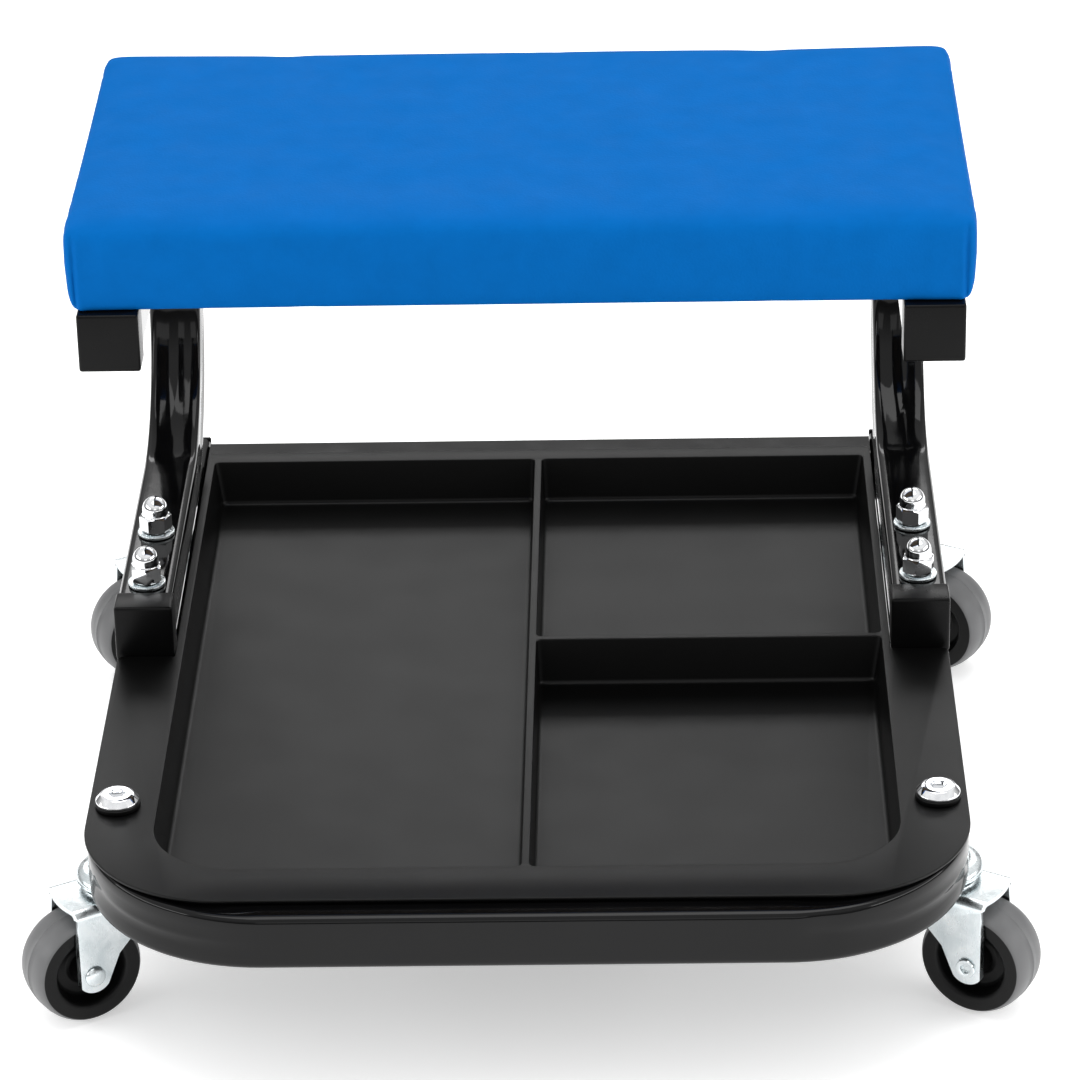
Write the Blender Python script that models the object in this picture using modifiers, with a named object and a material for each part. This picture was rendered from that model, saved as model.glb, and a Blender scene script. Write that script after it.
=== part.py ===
"""Rolling mechanics' creeper seat: a padded seat on two bent-tube legs, over a tool tray on four casters.

Units are metres and +Z is up. X runs to the right of a person who faces the open front of the legs,
+Y runs to the back, and the origin is on the floor under the middle of the object.
"""

import math

import bmesh
import bpy
from mathutils import Matrix, Vector

MM = 0.001

# ---- driving dimensions ------------------------------------------------------------------------
GAP = 0.3 * MM                # kept between pieces that touch

TUBE = 25.0 * MM              # square tube, outside
TUBE_WALL = 1.5 * MM
TUBE_CORNER = 3.5 * MM        # outside corner radius of the tube

RAIL_X = 175.0 * MM           # centre line of the side rails, of the legs and of the casters
RAIL_TOP = 93.0 * MM
FRAME_FRONT = -232.5 * MM     # outer face of the frame's front run
FRAME_BEND = 65.0 * MM        # centre-line radius of the frame's front corners
RAIL_END = 225.0 * MM
CROSSBAR_Y = 209.0 * MM

ARM_BOTTOM = RAIL_TOP + 1.0 * MM   # the sleeve caps lift the arms a little off the rails
LOWER_ARM_FRONT = -6.5 * MM   # face of the lower end caps
UPPER_ARM_FRONT = -68.5 * MM  # face of the upper end caps
ARM_SPACING = 172.0 * MM      # lower arm to upper arm, centre to centre
LEG_BEND = 78.5 * MM          # centre-line radius of the legs' bends
LEG_REAR = 232.5 * MM         # rearmost face of the legs
LEG_BOLT_Y = (18.5 * MM, 69.5 * MM)
SEAT_SCREW_Y = (-20.0 * MM, 100.0 * MM)

CAP_WALL = 0.5 * MM
CAP_FIT = 0.2 * MM            # sleeve's inside to the tube
CAP_SLEEVE = 16.0 * MM
CAP_PLATE = 2.0 * MM

SEAT_WIDTH = 386.0 * MM
SEAT_FRONT = -66.5 * MM
SEAT_BACK = 139.5 * MM
SEAT_BOTTOM = 292.0 * MM
SEAT_THICK = 40.0 * MM
COVER_THICK = 1.2 * MM
COVER_HEM = 14.0 * MM
BOARD_THICK = 9.0 * MM
BOARD_MARGIN = 5.0 * MM

TRAY_FRONT = -222.0 * MM
TRAY_BACK = 202.5 * MM
TRAY_CORNER = 62.0 * MM       # outer radius of the rim's front corners
TRAY_REAR_HALF = 161.7 * MM   # half width of the narrow part between the arms
TRAY_NOTCH = LOWER_ARM_FRONT - 1.0 * MM
RIM_THICK = 2.4 * MM
PAN_HALF = 158.0 * MM         # half width of the pan's mouth
PAN_FRONT = -196.3 * MM
PAN_BACK = 192.0 * MM
PAN_DEPTH = 22.0 * MM
PAN_WALL = 2.2 * MM
PAN_DRAFT = 2.8 * MM
PAN_CORNER = 36.0 * MM
DIVIDER = 3.4 * MM
DIVIDER_DRAFT = 0.8 * MM
CROSS_DIVIDER_Y = 6.0 * MM

FRONT_CASTER_Y = -142.5 * MM
REAR_CASTER_Y = 167.5 * MM
WHEEL_RADIUS = 25.0 * MM
TREAD_WIDTH = 23.0 * MM
HUB_WIDTH = 24.0 * MM
TRAIL = 22.0 * MM             # kingpin to axle
TRAIL_TURN = 30.0             # degrees the trails are turned from straight outwards towards the front
FORK_INSIDE = 25.2 * MM
FORK_SHEET = 2.2 * MM
CROWN_TOP = 58.2 * MM
AXLE_RADIUS = 3.0 * MM

M8 = 4.0 * MM                 # shank radii
M10 = 5.0 * MM
M5 = 2.5 * MM
HOLE_CLEARANCE = 0.4 * MM     # hole radius less shank radius

SIDES = (("left", -1), ("right", 1))

# ---- derived levels ----------------------------------------------------------------------------
RAIL_BOTTOM = RAIL_TOP - TUBE
RAIL_Z = RAIL_TOP - TUBE / 2
LOWER_ARM_Z = ARM_BOTTOM + TUBE / 2
UPPER_ARM_Z = LOWER_ARM_Z + ARM_SPACING
RIM_BOTTOM = RAIL_TOP + GAP
RIM_TOP = RIM_BOTTOM + RIM_THICK
CAP_INSIDE = TUBE + 2 * CAP_FIT
CAP_OUTSIDE = CAP_INSIDE + 2 * CAP_WALL


# ---- scene -------------------------------------------------------------------------------------
def clear_scene():
    for old in list(bpy.data.objects):
        bpy.data.objects.remove(old, do_unlink=True)


def collection(name):
    made = bpy.data.collections.new(name)
    bpy.context.scene.collection.children.link(made)
    return made


def material(name, colour, roughness, metallic=0.0):
    made = bpy.data.materials.new(name)
    made.use_nodes = True
    shader = made.node_tree.nodes["Principled BSDF"]
    shader.inputs["Base Color"].default_value = (*colour, 1.0)
    shader.inputs["Roughness"].default_value = roughness
    shader.inputs["Metallic"].default_value = metallic
    made.diffuse_color = (*colour, 1.0)
    return made


clear_scene()
PARTS = collection("mechanics_creeper")
CUTTERS = collection("cutters")

ENAMEL = material("black_enamel", (0.012, 0.012, 0.013), 0.18)
COVER = material("blue_leatherette", (0.012, 0.19, 0.62), 0.55)
FOAM = material("foam", (0.75, 0.70, 0.50), 0.95)
PLY = material("plywood", (0.50, 0.34, 0.18), 0.8)
TRAY = material("tray_plastic", (0.035, 0.035, 0.037), 0.5)
CAP = material("cap_plastic", (0.02, 0.02, 0.02), 0.45)
CHROME = material("chrome", (0.85, 0.86, 0.88), 0.08, 1.0)
ZINC = material("zinc_plate", (0.72, 0.75, 0.77), 0.3, 1.0)
WASHER_BLACK = material("black_washer", (0.015, 0.015, 0.015), 0.5)
WHEEL = material("wheel_rubber", (0.05, 0.05, 0.055), 0.6)


# ---- building helpers --------------------------------------------------------------------------
def place(mesh, name, finish, location=(0, 0, 0), group=PARTS):
    obj = bpy.data.objects.new(name, mesh)
    obj.location = location
    group.objects.link(obj)
    if finish:
        mesh.materials.clear()
        mesh.materials.append(finish)
    return obj


def mesh_from(bm, name):
    bmesh.ops.recalc_face_normals(bm, faces=bm.faces)
    mesh = bpy.data.meshes.new(name)
    bm.to_mesh(mesh)
    bm.free()
    return mesh


def smooth(obj, angle=35):
    obj.data.shade_smooth()
    obj.data.set_sharp_from_angle(angle=math.radians(angle))


def block_mesh(name, low, high, round_z=0.0, round_all=0.0, segments=2):
    """A box between two corners. round_z rounds its upright edges, round_all every edge."""
    bm = bmesh.new()
    size, centre = Vector(high) - Vector(low), (Vector(high) + Vector(low)) / 2
    bmesh.ops.create_cube(bm, size=1.0, matrix=Matrix.Translation(centre) @ Matrix.Diagonal((*size, 1)))
    edges = list(bm.edges)
    if round_z:
        edges = [e for e in bm.edges if abs((e.verts[0].co - e.verts[1].co).z) > 1e-6]
    width = round_z or round_all
    if width:
        bmesh.ops.bevel(bm, geom=edges, offset=width, segments=segments, profile=0.5, affect="EDGES")
    return mesh_from(bm, name)


def turned_mesh(name, profile, steps, closed=True):
    """A Screw of a profile of (radius, height) points, which runs down its outer side."""
    mesh = bpy.data.meshes.new(name)
    edges = [(i, i + 1) for i in range(len(profile) - 1)]
    if closed:
        edges.append((len(profile) - 1, 0))
    mesh.from_pydata([(r, 0, z) for r, z in profile], edges, [])
    guide = bpy.data.objects.new(name + "_profile", mesh)
    CUTTERS.objects.link(guide)
    screw = guide.modifiers.new("turn", "SCREW")
    screw.steps = screw.render_steps = steps
    screw.use_merge_vertices = True
    screw.merge_threshold = 0.00001
    screw.use_smooth_shade = True
    return baked(guide)


def baked(obj):
    """The object's evaluated mesh, with its place applied. The object itself is removed."""
    bpy.context.view_layer.update()
    graph = bpy.context.evaluated_depsgraph_get()
    mesh = bpy.data.meshes.new_from_object(obj.evaluated_get(graph))
    mesh.transform(obj.matrix_world)
    mesh.name = obj.name
    bpy.data.objects.remove(obj, do_unlink=True)
    return mesh


def cylinder_mesh(name, radius, low, high, segments=16, axis="Z"):
    bm = bmesh.new()
    turn = {"Z": Matrix(), "Y": Matrix.Rotation(-math.pi / 2, 4, "X")}
    middle = Matrix.Translation((0, 0, (low + high) / 2))
    bmesh.ops.create_cone(bm, cap_ends=True, segments=segments, radius1=radius, radius2=radius,
                          depth=high - low, matrix=turn[axis] @ middle)
    return mesh_from(bm, name)


def boolean(obj, mesh, location=(0, 0, 0), operation="DIFFERENCE", rotation=(0, 0, 0)):
    """Cuts a mesh out of obj, or joins it on."""
    cutter = place(mesh, obj.name + "_cutter", None, location, CUTTERS)
    cutter.rotation_euler = rotation
    cutter.hide_render = True
    cutter.display_type = "WIRE"
    cut = obj.modifiers.new("cut", "BOOLEAN")
    cut.operation = operation
    cut.object = cutter
    cut.solver = "EXACT"
    return cutter


def arc(centre, radius, start, end, steps):
    """Points of an arc, in degrees, both ends included."""
    angles = [math.radians(start + (end - start) * i / steps) for i in range(steps + 1)]
    return [(centre[0] + radius * math.cos(a), centre[1] + radius * math.sin(a)) for a in angles]


def rounded_outline(x0, x1, y0, y1, front_left, front_right, back_right, back_left, steps=6):
    """A rectangle in plan with its own radius at each corner, counter-clockwise from the front left."""
    corners = (
        ((x0, y0), (1, 1), front_left, 180),
        ((x1, y0), (-1, 1), front_right, 270),
        ((x1, y1), (-1, -1), back_right, 0),
        ((x0, y1), (1, -1), back_left, 90),
    )
    points = []
    for (x, y), (sx, sy), radius, start in corners:
        if radius:
            points += arc((x + sx * radius, y + sy * radius), radius, start, start + 90, steps)
        else:
            points.append((x, y))
    return points


def drafted_mesh(name, outline, low, high, draft=0.0, centre=(0, 0)):
    """A prism on an outline given at its top level. Its bottom is drawn in by draft on each side."""
    bm = bmesh.new()
    top = bm.faces.new([bm.verts.new((x, y, high)) for x, y in outline])
    half_x = max(abs(x - centre[0]) for x, y in outline)
    half_y = max(abs(y - centre[1]) for x, y in outline)
    made = bmesh.ops.extrude_face_region(bm, geom=[top])["geom"]
    for vert in (g for g in made if isinstance(g, bmesh.types.BMVert)):
        vert.co.x = centre[0] + (vert.co.x - centre[0]) * (1 - draft / half_x)
        vert.co.y = centre[1] + (vert.co.y - centre[1]) * (1 - draft / half_y)
        vert.co.z = low
    return mesh_from(bm, name)


# ---- square tube -------------------------------------------------------------------------------
def tube_section():
    """The tube's outline as a closed curve, which a path curve sweeps."""
    inner = TUBE / 2 - TUBE_CORNER
    points = []
    for start, (sx, sy) in ((0, (1, 1)), (90, (-1, 1)), (180, (-1, -1)), (270, (1, -1))):
        points += arc((sx * inner, sy * inner), TUBE_CORNER, start, start + 90, 1)
    curve = bpy.data.curves.new("tube_section", "CURVE")
    curve.dimensions = "2D"
    spline = curve.splines.new("POLY")
    spline.points.add(len(points) - 1)
    for point, (x, y) in zip(spline.points, points):
        point.co = (x, y, 0, 1)
    spline.use_cyclic_u = True
    section = bpy.data.objects.new("tube_section", curve)
    section.hide_render = True
    CUTTERS.objects.link(section)
    return section


def square_tube(name, path):
    """A hollow square tube with open ends along a path of points."""
    section = tube_section()
    curve = bpy.data.curves.new(name, "CURVE")
    curve.dimensions = "3D"
    curve.twist_mode = "Z_UP" if all(abs(p[2] - path[0][2]) < 1e-9 for p in path) else "MINIMUM"
    curve.bevel_mode = "OBJECT"
    curve.bevel_object = section
    spline = curve.splines.new("POLY")
    spline.points.add(len(path) - 1)
    for point, xyz in zip(spline.points, path):
        point.co = (*xyz, 1)
    guide = bpy.data.objects.new(name, curve)
    CUTTERS.objects.link(guide)
    mesh = baked(guide)
    bpy.data.objects.remove(section, do_unlink=True)
    bm = bmesh.new()
    bm.from_mesh(mesh)
    bmesh.ops.remove_doubles(bm, verts=bm.verts, dist=0.000001)
    tube = place(mesh_from(bm, name), name, ENAMEL)
    wall = tube.modifiers.new("wall", "SOLIDIFY")
    wall.thickness = TUBE_WALL
    wall.offset = -1
    wall.use_even_offset = True
    return tube


def holes(obj, spots, radius, low, high):
    """Round holes along Z at (x, y) spots."""
    for x, y in spots:
        boolean(obj, cylinder_mesh("hole", radius, low, high, 12), (x, y, 0))


def build_frame():
    front = FRAME_FRONT + TUBE / 2
    bend_x, bend_y = RAIL_X - FRAME_BEND, front + FRAME_BEND
    right = arc((bend_x, bend_y), FRAME_BEND, 0, -90, 8)
    left = [(-x, y) for x, y in reversed(right)]
    plan = [(RAIL_X, RAIL_END), *right, *left, (-RAIL_X, RAIL_END)]
    frame = square_tube("base_frame", [(x, y, RAIL_Z) for x, y in plan])
    above, below = RAIL_TOP + TUBE, RAIL_BOTTOM - TUBE
    for _, side in SIDES:
        x = side * RAIL_X
        holes(frame, [(x, y) for y in LEG_BOLT_Y], M8 + HOLE_CLEARANCE, below, above)
        holes(frame, [(x, FRONT_CASTER_Y)], M10 + HOLE_CLEARANCE, below, above)
        holes(frame, [(x, REAR_CASTER_Y)], M10 + HOLE_CLEARANCE, below, RAIL_Z)

    reach = RAIL_X - TUBE / 2 - GAP
    square_tube("rear_crossbar", [(-reach, CROSSBAR_Y, RAIL_Z), (reach, CROSSBAR_Y, RAIL_Z)])


def build_rail_plugs():
    """Push-in plugs that close the rails' rear ends."""
    body = TUBE / 2 - TUBE_WALL - 2 * GAP
    for word, side in SIDES:
        x, y = side * RAIL_X, RAIL_END
        head = block_mesh("plug_head", (-TUBE / 2, GAP, -TUBE / 2), (TUBE / 2, 2.3 * MM, TUBE / 2))
        plug = place(head, f"rail_plug_{word}", CAP, (x, y, RAIL_Z))
        stem = block_mesh("plug_stem", (-body, -12 * MM, -body), (body, 1 * MM, body), round_all=3 * MM, segments=1)
        boolean(plug, stem, (x, y, RAIL_Z), "UNION")


# ---- legs --------------------------------------------------------------------------------------
def build_legs():
    tube_end = CAP_PLATE + GAP
    bend_y = LEG_REAR - TUBE / 2 - LEG_BEND
    upper = arc((bend_y, UPPER_ARM_Z - LEG_BEND), LEG_BEND, 90, 0, 7)
    lower = arc((bend_y, LOWER_ARM_Z + LEG_BEND), LEG_BEND, 0, -90, 7)
    side_view = [
        (UPPER_ARM_FRONT + tube_end, UPPER_ARM_Z),
        *upper,
        *lower,
        (LOWER_ARM_FRONT + tube_end, LOWER_ARM_Z),
    ]
    for word, side in SIDES:
        x = side * RAIL_X
        leg = square_tube(f"leg_{word}", [(x, y, z) for y, z in side_view])
        low_arm = (LOWER_ARM_Z - TUBE, LOWER_ARM_Z + TUBE)
        high_arm = (UPPER_ARM_Z - TUBE, UPPER_ARM_Z + TUBE)
        holes(leg, [(x, y) for y in LEG_BOLT_Y], M8 + HOLE_CLEARANCE, *low_arm)
        holes(leg, [(x, y) for y in SEAT_SCREW_Y], M5 + HOLE_CLEARANCE, *high_arm)


def build_arm_caps():
    """Sleeve caps that close the front ends of the arms."""
    out, inside = CAP_OUTSIDE / 2, CAP_INSIDE / 2
    for kind, front, height in (("seat", UPPER_ARM_FRONT, UPPER_ARM_Z), ("base", LOWER_ARM_FRONT, LOWER_ARM_Z)):
        for word, side in SIDES:
            spot = (side * RAIL_X, front, height)
            shell = block_mesh("cap_shell", (-out, 0, -out), (out, CAP_SLEEVE + 1.2 * MM, out), round_all=1.2 * MM,
                               segments=1)
            cap = place(shell, f"{kind}_arm_cap_{word}", CAP, spot)
            bore = block_mesh("cap_bore", (-inside, CAP_PLATE, -inside), (inside, 2 * CAP_SLEEVE, inside))
            boolean(cap, bore, spot)
            beyond = block_mesh("cap_end", (-TUBE, CAP_SLEEVE, -TUBE), (TUBE, 2 * CAP_SLEEVE, TUBE))
            boolean(cap, beyond, spot)


# ---- seat --------------------------------------------------------------------------------------
def seat_shell(name, inset, low, high, radius):
    """The seat's rounded block, drawn in by inset all round."""
    half = SEAT_WIDTH / 2 - inset
    bm = bmesh.new()
    bm.from_mesh(block_mesh(name, (-half, SEAT_FRONT + inset, low), (half, SEAT_BACK - inset, high),
                            round_z=radius, segments=3))
    rim = [e for e in bm.edges if min(v.co.z for v in e.verts) > high - 1e-6]
    bmesh.ops.bevel(bm, geom=rim, offset=radius * 0.7, segments=3, profile=0.5, affect="EDGES")
    return bm


def build_seat():
    top = SEAT_BOTTOM + SEAT_THICK
    bm = seat_shell("seat_cover", 0, SEAT_BOTTOM, top, 12 * MM)
    base = min(bm.faces, key=lambda f: f.calc_center_median().z)
    bmesh.ops.inset_region(bm, faces=[base], thickness=COVER_HEM, use_even_offset=True)
    bmesh.ops.delete(bm, geom=[base], context="FACES")
    cover = place(mesh_from(bm, "seat_cover"), "seat_cover", COVER)
    skin = cover.modifiers.new("skin", "SOLIDIFY")
    skin.thickness = COVER_THICK
    skin.offset = -1
    smooth(cover)

    inset = COVER_THICK + GAP
    board_low = SEAT_BOTTOM + inset
    board_high = board_low + BOARD_THICK
    foam = seat_shell("seat_foam", inset, board_high + GAP, top - inset, 10.8 * MM)
    smooth(place(mesh_from(foam, "seat_foam"), "seat_foam", FOAM))

    half = SEAT_WIDTH / 2 - BOARD_MARGIN
    low = (-half, SEAT_FRONT + BOARD_MARGIN, board_low)
    high = (half, SEAT_BACK - BOARD_MARGIN, board_high)
    board = place(block_mesh("seat_board", low, high, round_z=10 * MM), "seat_board", PLY)
    for _, side in SIDES:
        spots = [(side * RAIL_X, y) for y in SEAT_SCREW_Y]
        holes(board, spots, M5 + GAP, board_low - TUBE, board_high + TUBE)


# ---- tray --------------------------------------------------------------------------------------
def build_tray():
    rim_half = RAIL_X + TUBE / 2
    wide = rounded_outline(-rim_half, rim_half, TRAY_FRONT, TRAY_NOTCH, TRAY_CORNER, TRAY_CORNER, 0, 0, 8)
    tail = [(TRAY_REAR_HALF, TRAY_NOTCH), (TRAY_REAR_HALF, TRAY_BACK),
            (-TRAY_REAR_HALF, TRAY_BACK), (-TRAY_REAR_HALF, TRAY_NOTCH)]
    rim = wide[:-1] + tail + wide[-1:]
    tray = place(drafted_mesh("tray", rim, RIM_BOTTOM, RIM_TOP), "tray", TRAY)

    middle = (PAN_FRONT + PAN_BACK) / 2
    floor_top = RIM_TOP - PAN_DEPTH
    pan = rounded_outline(-PAN_HALF - PAN_WALL, PAN_HALF + PAN_WALL, PAN_FRONT - PAN_WALL, PAN_BACK + PAN_WALL,
                          PAN_CORNER + PAN_WALL, PAN_CORNER + PAN_WALL, 3 * MM, 3 * MM, 8)
    boolean(tray, drafted_mesh("pan", pan, floor_top - PAN_WALL, RIM_BOTTOM + RIM_THICK / 2, PAN_DRAFT, (0, middle)),
            operation="UNION")

    half, small = DIVIDER / 2, 2 * MM
    compartments = (
        (-PAN_HALF, -half, PAN_FRONT, PAN_BACK, PAN_CORNER, small),
        (half, PAN_HALF, PAN_FRONT, CROSS_DIVIDER_Y - half, small, PAN_CORNER),
        (half, PAN_HALF, CROSS_DIVIDER_Y + half, PAN_BACK, small, small),
    )
    for x0, x1, y0, y1, front_left, front_right in compartments:
        outline = rounded_outline(x0, x1, y0, y1, front_left, front_right, small, small, 4)
        draft = (PAN_DRAFT + DIVIDER_DRAFT) / 2
        shift = math.copysign((PAN_DRAFT - DIVIDER_DRAFT) / 2, -x0 - x1)
        hollow = drafted_mesh("hollow", outline, floor_top, RIM_TOP, draft, ((x0 + x1) / 2, (y0 + y1) / 2))
        for vert in hollow.vertices:
            if vert.co.z < floor_top + small:
                vert.co.x += shift
            else:
                vert.co.z += 1 * MM
        boolean(tray, hollow)
    for _, side in SIDES:
        holes(tray, [(side * RAIL_X, FRONT_CASTER_Y)], M10 + HOLE_CLEARANCE, RIM_BOTTOM - small, RIM_TOP + small)
    smooth(tray)


# ---- fasteners ---------------------------------------------------------------------------------
def bolt_mesh(name, shank, head_radius, head_height, length):
    """A bolt with a domed head. Its head rests on z = 0 and its shank goes down."""
    profile = [
        (0, head_height),
        (head_radius * 0.62, head_height * 0.92),
        (head_radius * 0.92, head_height * 0.55),
        (head_radius, head_height * 0.12),
        (head_radius, 0),
        (shank, 0),
        (shank, -length + shank * 0.3),
        (shank * 0.7, -length),
        (0, -length),
    ]
    return turned_mesh(name, profile, 12, closed=False)


def ring_mesh(name, inner, outer, height, steps=16):
    return turned_mesh(name, [(outer, height), (outer, 0), (inner, 0), (inner, height)], steps)


def hex_nut(name, across_flats, height, bore, spot, finish):
    prism = cylinder_mesh(name, across_flats / math.sqrt(3), 0, height, 6)
    nut = place(prism, name, finish, spot)
    boolean(nut, cylinder_mesh("nut_bore", bore, -height, 2 * height, 12), spot)
    return nut


def acorn_nut(name, spot):
    """A dome nut for an M8 bolt: a hexagon with a round cap, open underneath."""
    flats, height, hex_height, dome = 13 * MM, 15.5 * MM, 7.5 * MM, 6.2 * MM
    nut = place(cylinder_mesh(name, flats / math.sqrt(3), 0, hex_height, 6), name, CHROME, spot)
    cap = [(r, height - dome + z) for r, z in arc((0, 0), dome, 90, 0, 4)]
    cap += [(dome, hex_height / 2), (0, hex_height / 2)]
    boolean(nut, turned_mesh("dome", cap, 16, closed=False), spot, "UNION")
    boolean(nut, cylinder_mesh("bore", M8 + GAP, -height, height * 0.72, 12), spot)


def build_leg_fasteners():
    arm_top = LOWER_ARM_Z + TUBE / 2
    washer_base, washer = arm_top + GAP, 1.6 * MM
    nut_base = washer_base + washer + GAP
    head_face = RAIL_BOTTOM - GAP
    for word, side in SIDES:
        for place_word, y in zip(("front", "rear"), LEG_BOLT_Y):
            x, tag = side * RAIL_X, f"{word}_{place_word}"
            bolt = place(bolt_mesh("leg_bolt", M8, 7 * MM, 4.5 * MM, nut_base + 9.5 * MM - head_face),
                         f"leg_bolt_{tag}", ZINC, (x, y, head_face))
            bolt.rotation_euler = (math.pi, 0, 0)
            smooth(bolt)
            place(ring_mesh("leg_washer", M8 + HOLE_CLEARANCE, 8.5 * MM, washer), f"leg_washer_{tag}", ZINC,
                  (x, y, washer_base))
            acorn_nut(f"leg_nut_{tag}", (x, y, nut_base))


def build_seat_screws():
    """Screws that go up through the upper arms into the seat board."""
    head_face = UPPER_ARM_Z - TUBE / 2 - GAP
    tip = SEAT_BOTTOM + COVER_THICK + GAP + BOARD_THICK - 1.5 * MM
    for word, side in SIDES:
        for place_word, y in zip(("front", "rear"), SEAT_SCREW_Y):
            screw = place(bolt_mesh("seat_screw", M5, 5.5 * MM, 3.2 * MM, tip - head_face),
                          f"seat_screw_{word}_{place_word}", ZINC, (side * RAIL_X, y, head_face))
            screw.rotation_euler = (math.pi, 0, 0)
            smooth(screw)


# ---- casters -----------------------------------------------------------------------------------
KINGPIN_FOOT = 54.4 * MM      # underside of the hollow kingpin's flange


def race_mesh():
    """The fixed cup of the swivel, with the hollow kingpin that holds the fork."""
    top, bore = RAIL_BOTTOM - GAP, M10 + HOLE_CLEARANCE
    profile = [
        (13.0 * MM, top),
        (18.6 * MM, top - 1.6 * MM),
        (20.0 * MM, top - 3.6 * MM),
        (20.0 * MM, top - 5.8 * MM),
        (18.4 * MM, top - 5.8 * MM),
        (12.6 * MM, top - 1.8 * MM),
        (7.3 * MM, top - 1.8 * MM),
        (7.3 * MM, KINGPIN_FOOT + 1.2 * MM),
        (9.2 * MM, KINGPIN_FOOT + 1.2 * MM),
        (9.2 * MM, KINGPIN_FOOT),
        (bore, KINGPIN_FOOT),
        (bore, top),
    ]
    return turned_mesh("caster_race", profile, 16)


def balls_mesh():
    """The ring of bearing balls, as one plain torus."""
    ring = [(14.5 * MM + r, z) for r, z in arc((0, 0), 2.1 * MM, 90, -210, 5)]
    return turned_mesh("caster_balls", [(r, 61.3 * MM + z) for r, z in ring], 12)


def wheel_mesh():
    """The wheel, with a recessed hub on each side. Its axle runs along Z."""
    rim, hub = TREAD_WIDTH / 2, HUB_WIDTH / 2
    half = [
        (7.5 * MM, hub),
        (8.0 * MM, rim * 0.6),
        (15.0 * MM, rim * 0.6),
        (15.6 * MM, rim),
        (22.5 * MM, rim),
        (WHEEL_RADIUS, rim * 0.6),
    ]
    bore = AXLE_RADIUS + GAP
    profile = [(bore, hub), *half, *[(r, -z) for r, z in reversed(half)], (bore, -hub)]
    return turned_mesh("caster_wheel", profile, 24)


def axle_mesh():
    """A semi-tubular rivet along Z: a domed head at the top and a hollow rolled end at the bottom."""
    face = FORK_INSIDE / 2 + FORK_SHEET + GAP
    profile = [
        (0, face + 2.2 * MM),
        (3.2 * MM, face + 1.7 * MM),
        (4.6 * MM, face),
        (AXLE_RADIUS, face),
        (AXLE_RADIUS, -face),
        (4.2 * MM, -face),
        (4.0 * MM, -face - 1.0 * MM),
        (2.2 * MM, -face - 1.3 * MM),
        (2.0 * MM, -face + 3 * MM),
        (0, -face + 3 * MM),
    ]
    return turned_mesh("caster_axle", profile, 12, closed=False)


def fork_outline():
    """The fork's side view, as (distance along the trail, height)."""
    eye = arc((TRAIL, WHEEL_RADIUS), 8 * MM, 0, -140, 8)
    return [
        (-17.5 * MM, 53.0 * MM),
        (-17.5 * MM, CROWN_TOP),
        (TRAIL + 5.2 * MM, CROWN_TOP),
        (TRAIL + 6.0 * MM, CROWN_TOP - 3 * MM),
        *eye,
        (-10.0 * MM, 50.0 * MM),
    ]


def fork_object(name, spot, turn):
    """A bent sheet fork: a crown over two tapered legs. Its trail runs along local X."""
    width = FORK_INSIDE / 2 + FORK_SHEET
    bm = bmesh.new()
    side = bm.faces.new([bm.verts.new((a, -width, z)) for a, z in fork_outline()])
    made = bmesh.ops.extrude_face_region(bm, geom=[side])["geom"]
    bmesh.ops.translate(bm, vec=(0, 2 * width, 0), verts=[g for g in made if isinstance(g, bmesh.types.BMVert)])
    fork = place(mesh_from(bm, name), name, ZINC, spot)
    fork.rotation_euler = (0, 0, turn)
    inside = FORK_INSIDE / 2
    channel = block_mesh("channel", (-TUBE, -inside, 0), (2 * TUBE, inside, CROWN_TOP - FORK_SHEET))
    boolean(fork, channel, spot, rotation=(0, 0, turn))
    boolean(fork, cylinder_mesh("kingpin_hole", 7.8 * MM, TUBE * 2, TUBE * 3, 16), spot, rotation=(0, 0, turn))
    across = cylinder_mesh("axle_hole", AXLE_RADIUS + GAP, -TUBE, TUBE, 12, "Y")
    across.transform(Matrix.Translation((TRAIL, 0, WHEEL_RADIUS)))
    boolean(fork, across, spot, rotation=(0, 0, turn))
    return fork


def build_caster(tag, x, y, side):
    """One swivel caster under the rail at (x, y). Its trail points outwards and a little forwards."""
    turn = math.radians(-TRAIL_TURN if side > 0 else 180 + TRAIL_TURN)
    spot = (x, y, 0)
    pivot = bpy.data.objects.new(f"caster_{tag}", None)
    pivot.location = spot
    pivot.rotation_euler = (0, 0, turn)
    PARTS.objects.link(pivot)

    smooth(place(race_mesh(), f"caster_race_{tag}", ZINC, spot))
    smooth(place(balls_mesh(), f"caster_balls_{tag}", CHROME, spot))
    fork_object(f"caster_fork_{tag}", spot, turn)

    for kind, mesh, finish in (("wheel", wheel_mesh(), WHEEL), ("axle", axle_mesh(), ZINC)):
        piece = place(mesh, f"caster_{kind}_{tag}", finish)
        piece.parent = pivot
        piece.location = (TRAIL, 0, WHEEL_RADIUS)
        piece.rotation_euler = (math.pi / 2, 0, 0)
        smooth(piece)


def build_front_bolts():
    """Button-head bolts that go down through the tray's rim, the rail and the kingpin to a nut."""
    washer, washer_base = 2 * MM, RIM_TOP + GAP
    head_face = washer_base + washer + GAP
    nut_height = 5 * MM
    nut_base = KINGPIN_FOOT - GAP - nut_height
    for word, side in SIDES:
        x, y = side * RAIL_X, FRONT_CASTER_Y
        place(ring_mesh("tray_washer", M10 + HOLE_CLEARANCE, 9.2 * MM, washer, 20), f"tray_washer_{word}",
              WASHER_BLACK, (x, y, washer_base))
        name = f"caster_bolt_front_{word}"
        bolt = place(bolt_mesh(name, M10, 8.7 * MM, 5.4 * MM, head_face - nut_base - 1 * MM), name, CHROME,
                     (x, y, head_face))
        boolean(bolt, cylinder_mesh("socket", 3.4 * MM, 2.4 * MM, 8 * MM, 6), (x, y, head_face))
        smooth(bolt)
        hex_nut(f"caster_nut_front_{word}", 16 * MM, nut_height, M10 + GAP, (x, y, nut_base), ZINC)


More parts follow.
